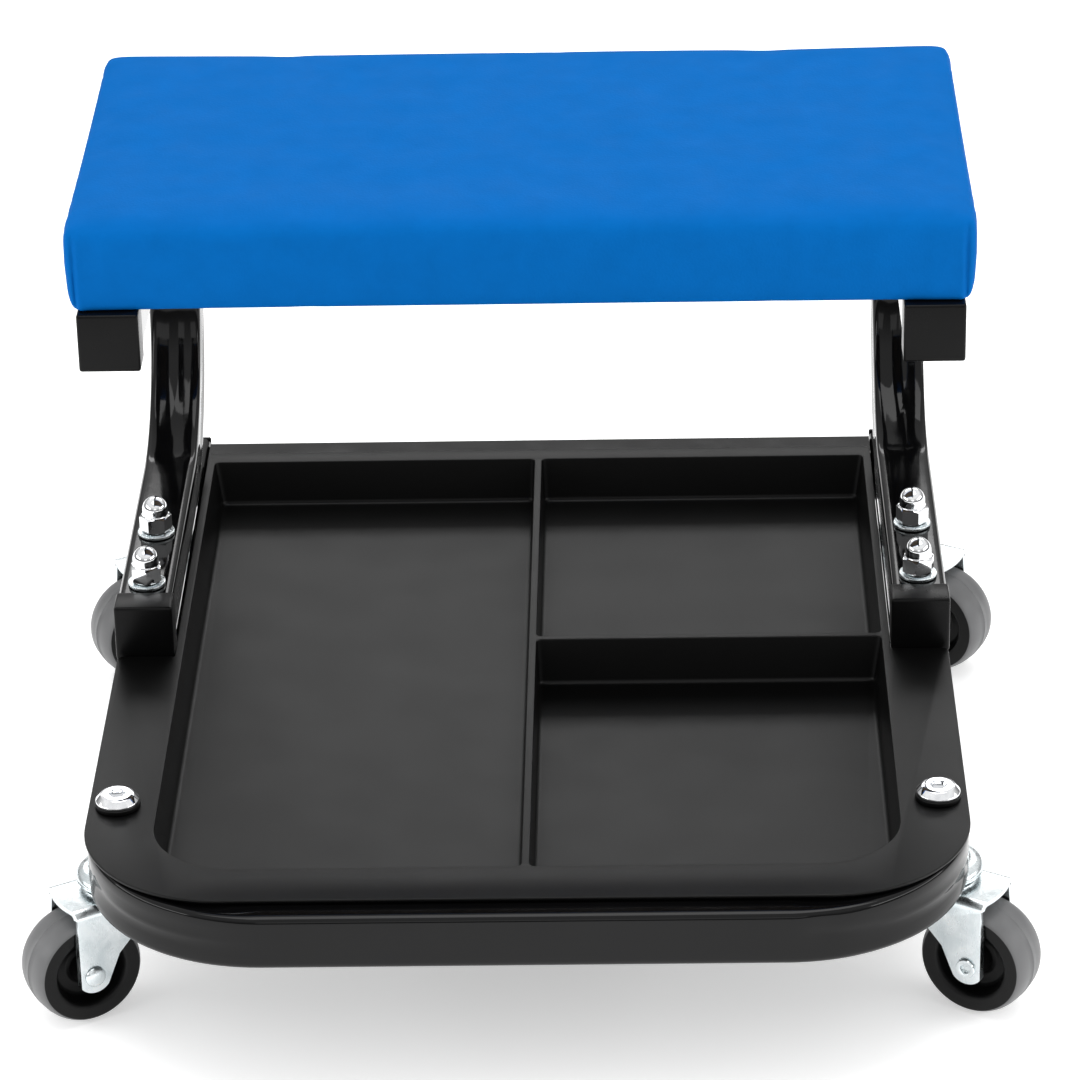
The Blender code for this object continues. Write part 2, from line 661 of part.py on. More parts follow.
def build_rear_bolts():
    """Bolts that come up through the kingpin to a nut fixed inside the rail."""
    head_face = KINGPIN_FOOT - GAP
    nut_base = RAIL_BOTTOM + TUBE_WALL + GAP
    for word, side in SIDES:
        x, y = side * RAIL_X, REAR_CASTER_Y
        name = f"caster_bolt_rear_{word}"
        bolt = place(bolt_mesh(name, M10, 8.2 * MM, 4.8 * MM, nut_base + 9 * MM - head_face), name, ZINC,
                     (x, y, head_face))
        bolt.rotation_euler = (math.pi, 0, 0)
        smooth(bolt)
        hex_nut(f"caster_nut_rear_{word}", 16 * MM, 8 * MM, M10 + GAP, (x, y, nut_base), ZINC)


build_frame()
build_rail_plugs()
build_legs()
build_arm_caps()
build_seat()
build_tray()
build_leg_fasteners()
build_seat_screws()
build_front_bolts()
build_rear_bolts()
for row, row_y in (("front", FRONT_CASTER_Y), ("rear", REAR_CASTER_Y)):
    for side_word, side_sign in SIDES:
        build_caster(f"{row}_{side_word}", side_sign * RAIL_X, row_y, side_sign)
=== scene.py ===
"""Looks of the rolling mechanics' seat: a padded seat on two bent-tube legs over a tool tray on casters.

Every length is in metres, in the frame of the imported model. X runs to the right, +Y to the back, +Z up.
"""

import math

import bmesh
import bpy
import numpy as np
from mathutils import Matrix, Vector, noise


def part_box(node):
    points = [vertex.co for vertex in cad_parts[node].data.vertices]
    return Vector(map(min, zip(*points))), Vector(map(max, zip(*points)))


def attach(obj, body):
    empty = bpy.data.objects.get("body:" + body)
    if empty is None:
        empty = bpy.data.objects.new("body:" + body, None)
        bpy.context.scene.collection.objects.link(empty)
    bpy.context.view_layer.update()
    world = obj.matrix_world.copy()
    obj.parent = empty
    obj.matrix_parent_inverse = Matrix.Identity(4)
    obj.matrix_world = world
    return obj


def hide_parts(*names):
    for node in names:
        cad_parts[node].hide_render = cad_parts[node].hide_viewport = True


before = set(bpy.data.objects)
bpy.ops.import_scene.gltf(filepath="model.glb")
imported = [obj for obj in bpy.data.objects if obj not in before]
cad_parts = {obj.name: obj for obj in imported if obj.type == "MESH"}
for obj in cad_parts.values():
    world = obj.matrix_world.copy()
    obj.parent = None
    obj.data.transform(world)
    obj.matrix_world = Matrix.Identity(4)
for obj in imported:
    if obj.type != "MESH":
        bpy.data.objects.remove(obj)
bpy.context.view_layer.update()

MM = 0.001
SIDES = (("left", -1), ("right", 1))
ROWS = ("front", "rear")

TUBE_CORNER = 3.5 * MM
FRAME_BEND = 65.0 * MM        # centre-line radii of the bent tubes
LEG_BEND = 78.5 * MM
FRAME_DENT = 1.8 * MM         # how deep the bends are dented
LEG_DENT = 1.3 * MM
CAP_PLATE = 2.3 * MM          # an end cap's face, over the tube's end

RIM_THICK = 2.4 * MM
TRAY_CORNER = 62.0 * MM
TRAY_REAR_HALF = 161.7 * MM   # half width of the narrow part between the arms
PAN_HALF = 158.0 * MM         # half width of the pan's mouth
PAN_FRONT = -196.3 * MM
PAN_BACK = 192.0 * MM
PAN_CORNER = 36.0 * MM
PAN_DRAFT = 2.8 * MM
PAN_WALL = 2.2 * MM
DIVIDER = 3.4 * MM
CROSS_DIVIDER_Y = 6.0 * MM

WHEEL_RADIUS = 25.0 * MM
TRAIL = 22.0 * MM             # kingpin to axle
TRAIL_TURN = 30.0             # degrees, from straight outwards towards the front
BALLS_HIGH = 61.3 * MM        # height of the bearing balls' centres

NOISE_SPAN = (0.3, 0.7)       # the part of a noise's range that most of it falls in


# ---- materials ---------------------------------------------------------------------------------
class Graph:
    """A material's node tree, with short calls to add and join nodes."""

    def __init__(self, name, colour, roughness, metallic=0.0, **sockets):
        self.material = bpy.data.materials.new(name)
        self.material.use_nodes = True
        self.tree = self.material.node_tree
        self.shader = self.tree.nodes["Principled BSDF"]
        self.height = None
        self.shader.inputs["Base Color"].default_value = (*colour, 1)
        self.shader.inputs["Roughness"].default_value = roughness
        self.shader.inputs["Metallic"].default_value = metallic
        for socket, value in sockets.items():
            self.shader.inputs[socket.replace("_", " ")].default_value = value
        self.place = self.tree.nodes.new("ShaderNodeTexCoord").outputs["Object"]

    def link(self, source, target):
        self.tree.links.new(source, target)

    def noise(self, scale, detail=2.0, roughness=0.5, stretch=(1, 1, 1), distortion=0.0):
        """A noise over the piece; scale is in turns per metre."""
        mapping = self.tree.nodes.new("ShaderNodeMapping")
        mapping.inputs["Scale"].default_value = stretch
        self.link(self.place, mapping.inputs["Vector"])
        made = self.tree.nodes.new("ShaderNodeTexNoise")
        made.inputs["Scale"].default_value = scale
        made.inputs["Detail"].default_value = detail
        made.inputs["Roughness"].default_value = roughness
        made.inputs["Distortion"].default_value = distortion
        self.link(mapping.outputs["Vector"], made.inputs["Vector"])
        return made.outputs["Fac"]

    def cells(self, scale):
        """Soft pebbles over the piece."""
        made = self.tree.nodes.new("ShaderNodeTexVoronoi")
        made.feature = "SMOOTH_F1"
        made.inputs["Scale"].default_value = scale
        self.link(self.place, made.inputs["Vector"])
        return made.outputs["Distance"]

    def tint(self, value, first, second):
        """The base colour runs from first to second over the value's span."""
        ramp = self.tree.nodes.new("ShaderNodeValToRGB")
        for element, position, colour in zip(ramp.color_ramp.elements, NOISE_SPAN, (first, second)):
            element.position = position
            element.color = (*colour, 1)
        self.link(value, ramp.inputs["Fac"])
        self.link(ramp.outputs["Color"], self.shader.inputs["Base Color"])

    def rough(self, value, low, high):
        """The roughness runs from low to high over the value's span."""
        made = self.tree.nodes.new("ShaderNodeMapRange")
        made.inputs["From Min"].default_value, made.inputs["From Max"].default_value = NOISE_SPAN
        made.inputs["To Min"].default_value, made.inputs["To Max"].default_value = low, high
        self.link(value, made.inputs["Value"])
        self.link(made.outputs["Result"], self.shader.inputs["Roughness"])

    def bump(self, value, depth, strength):
        """Adds relief of that depth; calls add up."""
        made = self.tree.nodes.new("ShaderNodeBump")
        made.inputs["Distance"].default_value = depth
        made.inputs["Strength"].default_value = strength
        self.link(value, made.inputs["Height"])
        if self.height:
            self.link(self.height, made.inputs["Normal"])
        self.height = made.outputs["Normal"]
        self.link(self.height, self.shader.inputs["Normal"])


def shade(colour, factor):
    return tuple(c * factor for c in colour)


def enamel():
    """Gloss black paint with a slow waviness, orange peel and an uneven sheen."""
    black = (0.0022, 0.0022, 0.0024)
    made = Graph("gloss_black_enamel", black, 0.08,
                 Specular_IOR_Level=0.2, Coat_Weight=0.06, Coat_Roughness=0.03)
    made.tint(made.noise(14, 3), shade(black, 0.7), shade(black, 1.4))
    made.rough(made.noise(55, 4), 0.05, 0.13)
    made.bump(made.noise(20, 1.0), 0.9 * MM, 0.16)
    made.bump(made.noise(420, 2.0), 0.03 * MM, 0.3)
    return made.material


def moulded(name, colour, low, high, grain, depth, specular=0.2):
    """Moulded plastic: a fine spark grain, flow marks and an uneven sheen."""
    made = Graph(name, colour, low, Specular_IOR_Level=specular)
    made.tint(made.noise(22, 4, distortion=0.4), shade(colour, 0.93), shade(colour, 1.07))
    made.rough(made.noise(38, 5), low, high)
    made.bump(made.noise(70, 2), 0.1 * MM, 0.03)
    made.bump(made.noise(grain, 3, 0.6), depth, 0.5)
    return made.material


def rubber():
    """Grey tread rubber, matt and finely pitted."""
    made = Graph("tread_rubber", (0.098, 0.099, 0.101), 0.45, Specular_IOR_Level=0.4, Sheen_Weight=0.06)
    made.tint(made.noise(60, 4), (0.112, 0.113, 0.115), (0.135, 0.136, 0.139))
    made.rough(made.noise(120, 4), 0.38, 0.5)
    made.bump(made.noise(1900, 2), 0.04 * MM, 0.4)
    made.bump(made.noise(160, 2), 0.08 * MM, 0.3)
    return made.material


def chrome():
    """Bright plate with faint cloudiness."""
    made = Graph("bright_chrome", (0.86, 0.87, 0.89), 0.05, 1.0)
    made.tint(made.noise(300, 3), (0.78, 0.79, 0.81), (0.92, 0.93, 0.94))
    made.rough(made.noise(700, 4, stretch=(1, 1, 4)), 0.035, 0.1)
    made.bump(made.noise(900, 2), 0.02 * MM, 0.25)
    return made.material


def zinc():
    """Bright zinc plate: pale, faintly blue, with soft blotches and drawn marks."""
    made = Graph("zinc_plate_bright", (0.72, 0.77, 0.79), 0.25, 1.0)
    made.tint(made.noise(90, 4, distortion=0.6), (0.60, 0.66, 0.68), (0.82, 0.86, 0.87))
    made.rough(made.noise(260, 5, stretch=(1, 1, 0.3)), 0.16, 0.36)
    made.bump(made.noise(1500, 3, stretch=(1, 1, 0.2)), 0.02 * MM, 0.4)
    made.bump(made.noise(120, 2), 0.06 * MM, 0.2)
    return made.material


def leatherette():
    """Blue vinyl with a fine pebbled grain, soft hand marks and a slightly deeper blue in places."""
    blue = (0.0015, 0.113, 0.398)
    made = Graph("blue_leatherette_grain", blue, 0.6, Specular_IOR_Level=0.015)
    made.tint(made.noise(60, 6, 0.65, distortion=0.3), shade(blue, 0.95), shade(blue, 1.05))
    made.rough(made.noise(45, 5), 0.55, 0.7)
    made.bump(made.noise(34, 4, 0.6), 0.5 * MM, 0.05)
    made.bump(made.cells(950), 0.12 * MM, 0.6)
    made.bump(made.noise(2600, 2), 0.03 * MM, 0.4)
    return made.material


def plywood():
    """Dark-stained plywood with its grain along X."""
    made = Graph("plywood_face", (0.07, 0.052, 0.038), 0.7, Specular_IOR_Level=0.25)
    grain = made.noise(40, 6, 0.6, (0.25, 4, 1), 1.2)
    made.tint(grain, (0.045, 0.034, 0.026), (0.095, 0.070, 0.050))
    made.rough(made.noise(200, 4, stretch=(0.2, 4, 1)), 0.6, 0.85)
    made.bump(made.noise(300, 5, 0.6, (0.15, 5, 1)), 0.12 * MM, 0.5)
    return made.material


ENAMEL, CHROME, ZINC, RUBBER, LEATHER, PLY = enamel(), chrome(), zinc(), rubber(), leatherette(), plywood()
TRAY = moulded("tray_moulding", (0.0010, 0.0010, 0.0010), 0.395, 0.425, 2300, 0.05 * MM)
CAP = moulded("cap_moulding", (0.0022, 0.0022, 0.0023), 0.26, 0.34, 1500, 0.04 * MM, 0.13)
HUB = moulded("hub_moulding", (0.003, 0.003, 0.0031), 0.36, 0.46, 1500, 0.04 * MM)
WASHER = moulded("washer_moulding", (0.002, 0.002, 0.002), 0.32, 0.42, 1800, 0.04 * MM)


# ---- building helpers --------------------------------------------------------------------------
def span(node):
    """A CAD node's low corner, high corner and centre."""
    low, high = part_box(node)
    return low, high, (low + high) / 2


def mesh_from(bm, name):
    bmesh.ops.remove_doubles(bm, verts=bm.verts, dist=1e-7)
    bmesh.ops.recalc_face_normals(bm, faces=bm.faces)
    mesh = bpy.data.meshes.new(name)
    bm.to_mesh(mesh)
    bm.free()
    return mesh


def add(name, mesh, finish, body="root", replaces=(), angle=35.0, at=Matrix()):
    """Puts a piece in place on its body. replaces are the CAD nodes that it stands for."""
    mesh = mesh.copy()
    mesh.transform(at)
    obj = bpy.data.objects.new(name, mesh)
    bpy.context.scene.collection.objects.link(obj)
    mesh.materials.clear()
    mesh.materials.append(finish)
    mesh.shade_smooth()
    mesh.set_sharp_from_angle(angle=math.radians(angle))
    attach(obj, body)
    if replaces:
        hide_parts(*replaces)
    return obj


def baked(obj):
    """The object's mesh with its modifiers applied. The object itself is removed."""
    bpy.context.view_layer.update()
    made = bpy.data.meshes.new_from_object(obj.evaluated_get(bpy.context.evaluated_depsgraph_get()))
    bpy.data.objects.remove(obj, do_unlink=True)
    return made


def loose(mesh, name="work"):
    obj = bpy.data.objects.new(name, mesh)
    bpy.context.scene.collection.objects.link(obj)
    return obj


def bevelled(mesh, width, segments):
    obj = loose(mesh)
    edge = obj.modifiers.new("edges", "BEVEL")
    edge.width, edge.segments = width, segments
    edge.limit_method, edge.angle_limit = "ANGLE", math.radians(50)
    return baked(obj)


def combined(mesh, others, operation):
    """Boolean of a mesh with others, one after another."""
    obj = loose(mesh)
    tools = [loose(m, "tool") for m in others]
    for tool in tools:
        cut = obj.modifiers.new("cut", "BOOLEAN")
        cut.operation, cut.object, cut.solver = operation, tool, "EXACT"
    made = baked(obj)
    for tool in tools:
        bpy.data.objects.remove(tool, do_unlink=True)
    return made


def joined(meshes, name):
    bm = bmesh.new()
    for mesh in meshes:
        bm.from_mesh(mesh)
    made = bpy.data.meshes.new(name)
    bm.to_mesh(made)
    bm.free()
    return made


def block(low, high, radius, segments=4):
    """A box whose edges are all rounded."""
    bm = bmesh.new()
    size, centre = Vector(high) - Vector(low), (Vector(high) + Vector(low)) / 2
    bmesh.ops.create_cube(bm, size=1.0, matrix=Matrix.Translation(centre) @ Matrix.Diagonal((*size, 1)))
    bmesh.ops.bevel(bm, geom=list(bm.edges), offset=radius, segments=segments, profile=0.5, affect="EDGES")
    return mesh_from(bm, "block")


def arc(centre, radius, start, end, steps):
    angles = [math.radians(start + (end - start) * i / steps) for i in range(steps + 1)]
    return [(centre[0] + radius * math.cos(a), centre[1] + radius * math.sin(a)) for a in angles]


def rounded_outline(x0, x1, y0, y1, radii, steps=20):
    """A rectangle with a radius at each corner, counter-clockwise from the front left."""
    corners = (((x0, y0), (1, 1)), ((x1, y0), (-1, 1)), ((x1, y1), (-1, -1)), ((x0, y1), (1, -1)))
    points = []
    for ((x, y), (sx, sy)), radius, start in zip(corners, radii, (180, 270, 0, 90)):
        if radius:
            points += arc((x + sx * radius, y + sy * radius), radius, start, start + 90, steps)
        else:
            points.append((x, y))
    return points


def prism(outline, low, high, axis="Z"):
    """An upright prism, or one that runs along Y from an outline of (x, z)."""
    bm = bmesh.new()
    spot = (lambda a, b, c: (a, b, c)) if axis == "Z" else (lambda a, b, c: (a, c, b))
    base = bm.faces.new([bm.verts.new(spot(a, b, low)) for a, b in outline])
    made = bmesh.ops.extrude_face_region(bm, geom=[base])["geom"]
    step = Vector(spot(0, 0, high - low))
    bmesh.ops.translate(bm, vec=step, verts=[g for g in made if isinstance(g, bmesh.types.BMVert)])
    return mesh_from(bm, "prism")


def lofted(rings):
    """A closed skin over rings of points, each ring with the same number of points."""
    bm = bmesh.new()
    rows = [[bm.verts.new(p) for p in ring] for ring in rings]
    for a, b in zip(rows, rows[1:]):
        for i in range(len(a)):
            j = (i + 1) % len(a)
            bm.faces.new((a[i], a[j], b[j], b[i]))
    bm.faces.new(rows[0][::-1])
    bm.faces.new(rows[-1])
    return mesh_from(bm, "loft")


# ---- turned pieces -----------------------------------------------------------------------------
def hexed(flats, height, slope=0.0):
    """A row of a turned profile that follows a hexagon. slope drops the corners, as a chamfer does."""
    def row(angle):
        radius = flats / 2 / math.cos((angle + math.pi / 6) % (math.pi / 3) - math.pi / 6)
        return radius, height - slope * (radius - flats / 2 * 0.96)
    return row


def turned(rows, steps):
    """A surface of revolution round Z. Each row is (radius, height), or a hexed() row. A profile that starts
    off the axis is closed back to its first row."""
    bm = bmesh.new()
    angles = [2 * math.pi * i / steps for i in range(steps)]
    rings = []
    for row in rows:
        if not callable(row) and row[0] == 0:
            rings.append([bm.verts.new((0, 0, row[1]))] * steps)
            continue
        spots = [(a, *(row(a) if callable(row) else row)) for a in angles]
        rings.append([bm.verts.new((r * math.cos(a), r * math.sin(a), z)) for a, r, z in spots])
    pairs = list(zip(rings, rings[1:]))
    if callable(rows[0]) or rows[0][0] > 0:
        pairs.append((rings[-1], rings[0]))
    for a, b in pairs:
        for i in range(steps):
            j = (i + 1) % steps
            bm.faces.new(list(dict.fromkeys((a[i], a[j], b[j], b[i]))))
    return mesh_from(bm, "turned")


def rounded(corners, radius=0.3 * MM, steps=3):
    """A turned profile's points with each inner corner rounded."""
    made = [corners[0]]
    for before, here, after in zip(corners, corners[1:], corners[2:]):
        a, h, b = Vector(before), Vector(here), Vector(after)
        cut = min(radius, (a - h).length * 0.45, (b - h).length * 0.45)
        start, end = h + (a - h).normalized() * cut, h + (b - h).normalized() * cut
        for i in range(steps + 1):
            t = i / steps
            made.append(tuple((1 - t) ** 2 * start + 2 * t * (1 - t) * h + t * t * end))
    return made + [corners[-1]]


# ---- bent square tube --------------------------------------------------------------------------
def tube_ring(half, face_steps=8, corner_steps=5):
    """The tube's outline as (side, inward) points."""
    inner, points = half - TUBE_CORNER, []
    for start, (sx, sy) in ((0, (1, 1)), (90, (-1, 1)), (180, (-1, -1)), (270, (1, -1))):
        corner = arc((sx * inner, sy * inner), TUBE_CORNER, start, start + 90, corner_steps)
        points += corner
        along = math.radians(start + 180)
        face = Vector((math.cos(along), math.sin(along))) * 2 * inner
        points += [tuple(Vector(corner[-1]) + face * (i / face_steps)) for i in range(1, face_steps)]
    return points


def bent_path(points, steps=30):
    """Points along a path and, at each, its tangent and how far it is into a bend (None where straight).

    points are the 2-D path: plain (a, b) ends, and (centre, radius, start, end) arcs between them."""
    path = []
    for item in points:
        if len(item) == 2:
            path.append((Vector(item), None, None))
            continue
        centre, radius, start, end = item
        sign = 1 if end > start else -1
        for i, spot in enumerate(arc(centre, radius, start, end, steps)):
            a = math.radians(start + (end - start) * i / steps)
            path.append((Vector(spot), Vector((-math.sin(a), math.cos(a))) * sign, i / steps))
    filled = []
    for (a, ta, ua), (b, tb, ub) in zip(path, path[1:]):
        ta, tb = ta or (b - a).normalized(), tb or (b - a).normalized()
        filled.append((a, ta, ua))
        in_bend = ua is not None and ub is not None and (b - a).length < 15 * MM
        count = 1 if in_bend else int((b - a).length / (9 * MM))
        filled += [(a.lerp(b, i / count), (b - a).normalized(), None) for i in range(1, count)]
    last = path[-1]
    filled.append((last[0], last[1] or (last[0] - path[-2][0]).normalized(), last[2]))
    return filled


def dented(a, b, u, half, depth):
    """A point of the tube's outline after bending: long grooves run round the bend and end in a crease.

    a is the point's place across the path's plane, b its place inwards, and u how far it is into the bend."""
    if u is None:
        return a, b
    swell = min(1.0, 3.2 * u, 3.2 * (1 - u)) ** 0.8
    crease = math.exp(-((u - 0.9) / 0.05) ** 2)

    def groove(t, phase):
        inside = max(0.0, 1 - t * t)
        slow = 0.35 * math.cos(2 * math.pi * (0.95 * t + 0.2 * math.sin(3 * u + phase)) + phase)
        fine = 0.16 * math.cos(2 * math.pi * (2.1 * t + 0.3 * math.sin(5 * u)) + 2 * phase)
        line = 0.45 * math.exp(-((t - 0.42 + 0.25 * u) / 0.13) ** 2)
        return inside * (0.5 + slow + fine + line)

    inner, outer = max(0.0, b / half) ** 3, max(0.0, -b / half) ** 3
    flank = (abs(a) / half) ** 3
    drop = depth * (swell * groove(a / half, 0.4) + 0.7 * crease * max(0.0, 1 - (a / half) ** 2))
    pinch = depth * 0.9 * swell * groove(b / half, 1.9 if a > 0 else 0.0)
    b += drop * (0.8 * outer - inner)
    a -= math.copysign(1, a) * flank * pinch
    return a, b


def bent_tube(points, half, lift, side, plane, depth=0.0):
    """Sweeps the tube. plane turns a 2-D path point into 3-D, and side is the axis across that plane."""
    rings, outline = [], tube_ring(half)
    for spot, tangent, u in bent_path(points):
        centre = plane(*spot) + lift
        ahead = plane(*tangent)
        inward = ahead.cross(side)
        ring = []
        for a, b in outline:
            a, b = dented(a, b, u, half, depth)
            ring.append(centre + side * a + inward * b)
        rings.append(ring)
    return lofted(rings)


def build_tubes():
    low, high, _ = span("base_frame")
    half = (high.z - low.z) / 2
    rail_x, front, height = high.x - half, low.y + half, (low.z + high.z) / 2
    bend_x, bend_y = rail_x - FRAME_BEND, front + FRAME_BEND
    plan = [
        (rail_x, high.y),
        ((bend_x, bend_y), FRAME_BEND, 0, -90),
        ((-bend_x, bend_y), FRAME_BEND, -90, -180),
        (-rail_x, high.y),
    ]
    up = Vector((0, 0, 1))
    mesh = bent_tube(plan, half, up * height, up, lambda x, y: Vector((x, y, 0)), FRAME_DENT)
    add("frame_tube", mesh, ENAMEL, replaces=["base_frame"], angle=50)

    low, high, centre = span("rear_crossbar")
    bar = [(high.x, centre.y), (low.x, centre.y)]
    mesh = bent_tube(bar, half, up * centre.z, up, lambda x, y: Vector((x, y, 0)))
    add("rear_cross_tube", mesh, ENAMEL, replaces=["rear_crossbar"], angle=50)

    across = Vector((1, 0, 0))
    for word, _ in SIDES:
        low, high, centre = span(f"leg_{word}")
        lower_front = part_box(f"base_arm_cap_{word}")[0].y + CAP_PLATE
        top, bottom, bend_y = high.z - half, low.z + half, high.y - half - LEG_BEND
        side_view = [
            (low.y, top),
            ((bend_y, top - LEG_BEND), LEG_BEND, 90, 0),
            ((bend_y, bottom + LEG_BEND), LEG_BEND, 0, -90),
            (lower_front, bottom),
        ]
        mesh = bent_tube(side_view, half, across * centre.x, across, lambda y, z: Vector((0, y, z)), LEG_DENT)
        add(f"leg_tube_{word}", mesh, ENAMEL, replaces=[f"leg_{word}"], angle=50)


def build_caps():
    for kind in ("seat", "base"):
        for word, _ in SIDES:
            node = f"{kind}_arm_cap_{word}"
            low, high, _ = span(node)
            add(f"{node}_moulded", block(low, high, 1.3 * MM), CAP, replaces=[node])
    for word, _ in SIDES:
        node = f"rail_plug_{word}"
        low, high, centre = span(node)
        face = block((low.x, high.y - CAP_PLATE, low.z), high, 0.9 * MM)
        panel, proud, sunk = 8 * MM, 0.4 * MM, 1 * MM
        boss = block((centre.x - panel, high.y - sunk, centre.z - panel),
                     (centre.x + panel, high.y + proud, centre.z + panel), 0.6 * MM)
        add(f"{node}_moulded", joined([face, boss], node), CAP, replaces=[node])


# ---- tray --------------------------------------------------------------------------------------
def drafted(outline, low, high, draft, fillet, lean=0.0):
    """A prism drawn in by draft at its bottom, which is shifted by lean and has its edge rounded by fillet."""
    xs, ys = [p[0] for p in outline], [p[1] for p in outline]
    cx, cy = (min(xs) + max(xs)) / 2, (min(ys) + max(ys)) / 2
    half_x, half_y = (max(xs) - min(xs)) / 2, (max(ys) - min(ys)) / 2
    flare, steps = 0.04, 5
    levels = [(high, -flare * draft)]
    for i in range(steps + 1):
        turn = math.pi / 2 * i / steps
        levels.append((low + fillet * (1 - math.sin(turn)), draft + fillet * (1 - math.cos(turn))))
    rings = []
    for z, inset in levels:
        shift = lean * min(1.0, inset / draft)
        rings.append([
            (cx + shift + (x - cx) * (1 - inset / half_x), cy + (y - cy) * (1 - inset / half_y), z)
            for x, y in outline
        ])
    return lofted(rings)


def build_tray():
    low, high, _ = span("tray")
    notch_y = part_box("base_arm_cap_left")[0].y - 1 * MM
    rim_bottom, floor = high.z - RIM_THICK, low.z + PAN_WALL
    step, edge = 1 * MM, 0.9 * MM     # the rim's lower part stands back from its edge
    front = rounded_outline(low.x, high.x, low.y, notch_y, (TRAY_CORNER, TRAY_CORNER, 3 * MM, 3 * MM), 28)
    back_step = rounded_outline(low.x + edge, high.x - edge, low.y + edge, notch_y - edge,
                                (TRAY_CORNER - edge, TRAY_CORNER - edge, 2 * MM, 2 * MM), 28)
    tail = rounded_outline(-TRAY_REAR_HALF, TRAY_REAR_HALF, notch_y - 20 * MM, high.y,
                           (0, 0, 3 * MM, 3 * MM), 8)
    outer_half, outer_corner = PAN_HALF + PAN_WALL, PAN_CORNER + PAN_WALL
    outer = rounded_outline(-outer_half, outer_half, PAN_FRONT - PAN_WALL, PAN_BACK + PAN_WALL,
                            (outer_corner, outer_corner, 4 * MM, 4 * MM))
    pan = drafted(outer, low.z, rim_bottom + 1 * MM, PAN_DRAFT, 2.4 * MM)
    lower_rim = prism(back_step, rim_bottom, rim_bottom + 1.5 * step)
    solid = combined(prism(front, rim_bottom + step, high.z),
                     [lower_rim, prism(tail, rim_bottom, high.z), pan], "UNION")

    half, small = DIVIDER / 2, 2.6 * MM
    hollows = []
    for x0, x1, y0, y1, radii in (
        (-PAN_HALF, -half, PAN_FRONT, PAN_BACK, (PAN_CORNER, small, small, small)),
        (half, PAN_HALF, PAN_FRONT, CROSS_DIVIDER_Y - half, (small, PAN_CORNER, small, small)),
        (half, PAN_HALF, CROSS_DIVIDER_Y + half, PAN_BACK, (small,) * 4),
    ):
        outline, lean = rounded_outline(x0, x1, y0, y1, radii, 14), math.copysign(1 * MM, -x0 - x1)
        hollows.append(drafted(outline, floor, high.z + 1 * MM, 1.8 * MM, 2.2 * MM, lean))
    tray = combined(solid, hollows, "DIFFERENCE")
    add("tray_moulded", bevelled(tray, 0.6 * MM, 3), TRAY, replaces=["tray"], angle=38)


# ---- fasteners ---------------------------------------------------------------------------------
def dome_nut():
    """An M8 dome nut standing on z = 0, open below where the bolt goes in."""
    flats, hexagon, dome, height = 13 * MM, 7.8 * MM, 5.85 * MM, 16.6 * MM
    cap = [(dome * math.cos(a), height - dome + dome * math.sin(a))
           for a in (math.radians(d) for d in range(0, 90, 9))]
    return turned([
        (4 * MM, 0), (flats / 2 * 0.93, 0), hexed(flats, 0.35 * MM, -0.55),
        hexed(flats, hexagon, 0.6), (flats / 2 * 0.94, hexagon + 0.1 * MM),
        (dome + 0.15 * MM, hexagon + 0.25 * MM), (dome, hexagon + 0.8 * MM),
        *cap, (0, height),
    ][::-1], 96)


def plain_washer(outer, inner, height):
    return turned(rounded([(inner, 0), (outer, 0), (outer, height), (inner, height)], 0.35 * MM), 64)


def button_head(radius, height, socket):
    """A button head on z = 0 with a chamfer ring and a hexagon socket."""
    rows = rounded([
        (radius * 0.5, 0), (radius, 0), (radius, height * 0.3), (radius * 0.76, height * 0.94),
        (radius * 0.66, height), (socket * 0.72, height),
    ], 0.3 * MM, 3)
    return turned([(0, 0), *rows, hexed(socket, height), hexed(socket, height * 0.35), (0, height * 0.2)], 96)


def plain_nut(flats, height, bore):
    """A chamfered hexagon nut standing on z = 0."""
    face, chamfer, slope = flats / 2 * 0.92, 0.3 * MM, 0.55
    return turned([
        (bore, 0), (face, 0), hexed(flats, chamfer, -slope), hexed(flats, height - chamfer, slope),
        (face, height), (bore + 0.5 * MM, height), (bore, height - 0.5 * MM),
    ], 96)


def standing(x, y, z, turn=0.0):
    """Places a piece's own origin there, turned about Z."""
    return Matrix.Translation((x, y, z)) @ Matrix.Rotation(turn, 4, "Z")


def hanging(x, y, low, height):
    """Places a piece of that height upside down, so that it fills the height above low."""
    return Matrix.Translation((x, y, low + height)) @ Matrix.Rotation(math.pi, 4, "X")


def build_leg_fasteners():
    nut, washer = dome_nut(), plain_washer(8.5 * MM, 4 * MM, 1.6 * MM)
    head_height = 4.5 * MM
    head = button_head(7 * MM, head_height, 5 * MM)
    for word, _ in SIDES:
        for row in ROWS:
            tag = f"{word}_{row}"
            low, _, centre = span(f"leg_nut_{tag}")
            turn = 0.35 + (0.5 if row == "front" else 0) + (0.3 if word == "left" else 0)
            add(f"dome_nut_{tag}", nut, CHROME, replaces=[f"leg_nut_{tag}"], angle=28,
                at=standing(centre.x, centre.y, low.z, turn))
            low, _, centre = span(f"leg_washer_{tag}")
            add(f"flat_washer_{tag}", washer, ZINC, replaces=[f"leg_washer_{tag}"],
                at=standing(centre.x, centre.y, low.z))
            low, _, centre = span(f"leg_bolt_{tag}")
            add(f"rail_bolt_head_{tag}", head, ZINC, replaces=[f"leg_bolt_{tag}"], angle=30,
                at=hanging(centre.x, centre.y, low.z, head_height))


def build_seat_screws():
    head_height = 3.2 * MM
    head = button_head(5.5 * MM, head_height, 3.5 * MM)
    for word, _ in SIDES:
        for row in ROWS:
            node = f"seat_screw_{word}_{row}"
            low, _, centre = span(node)
            add(f"{node}_head", head, ZINC, replaces=[node], angle=30,
                at=hanging(centre.x, centre.y, low.z, head_height))


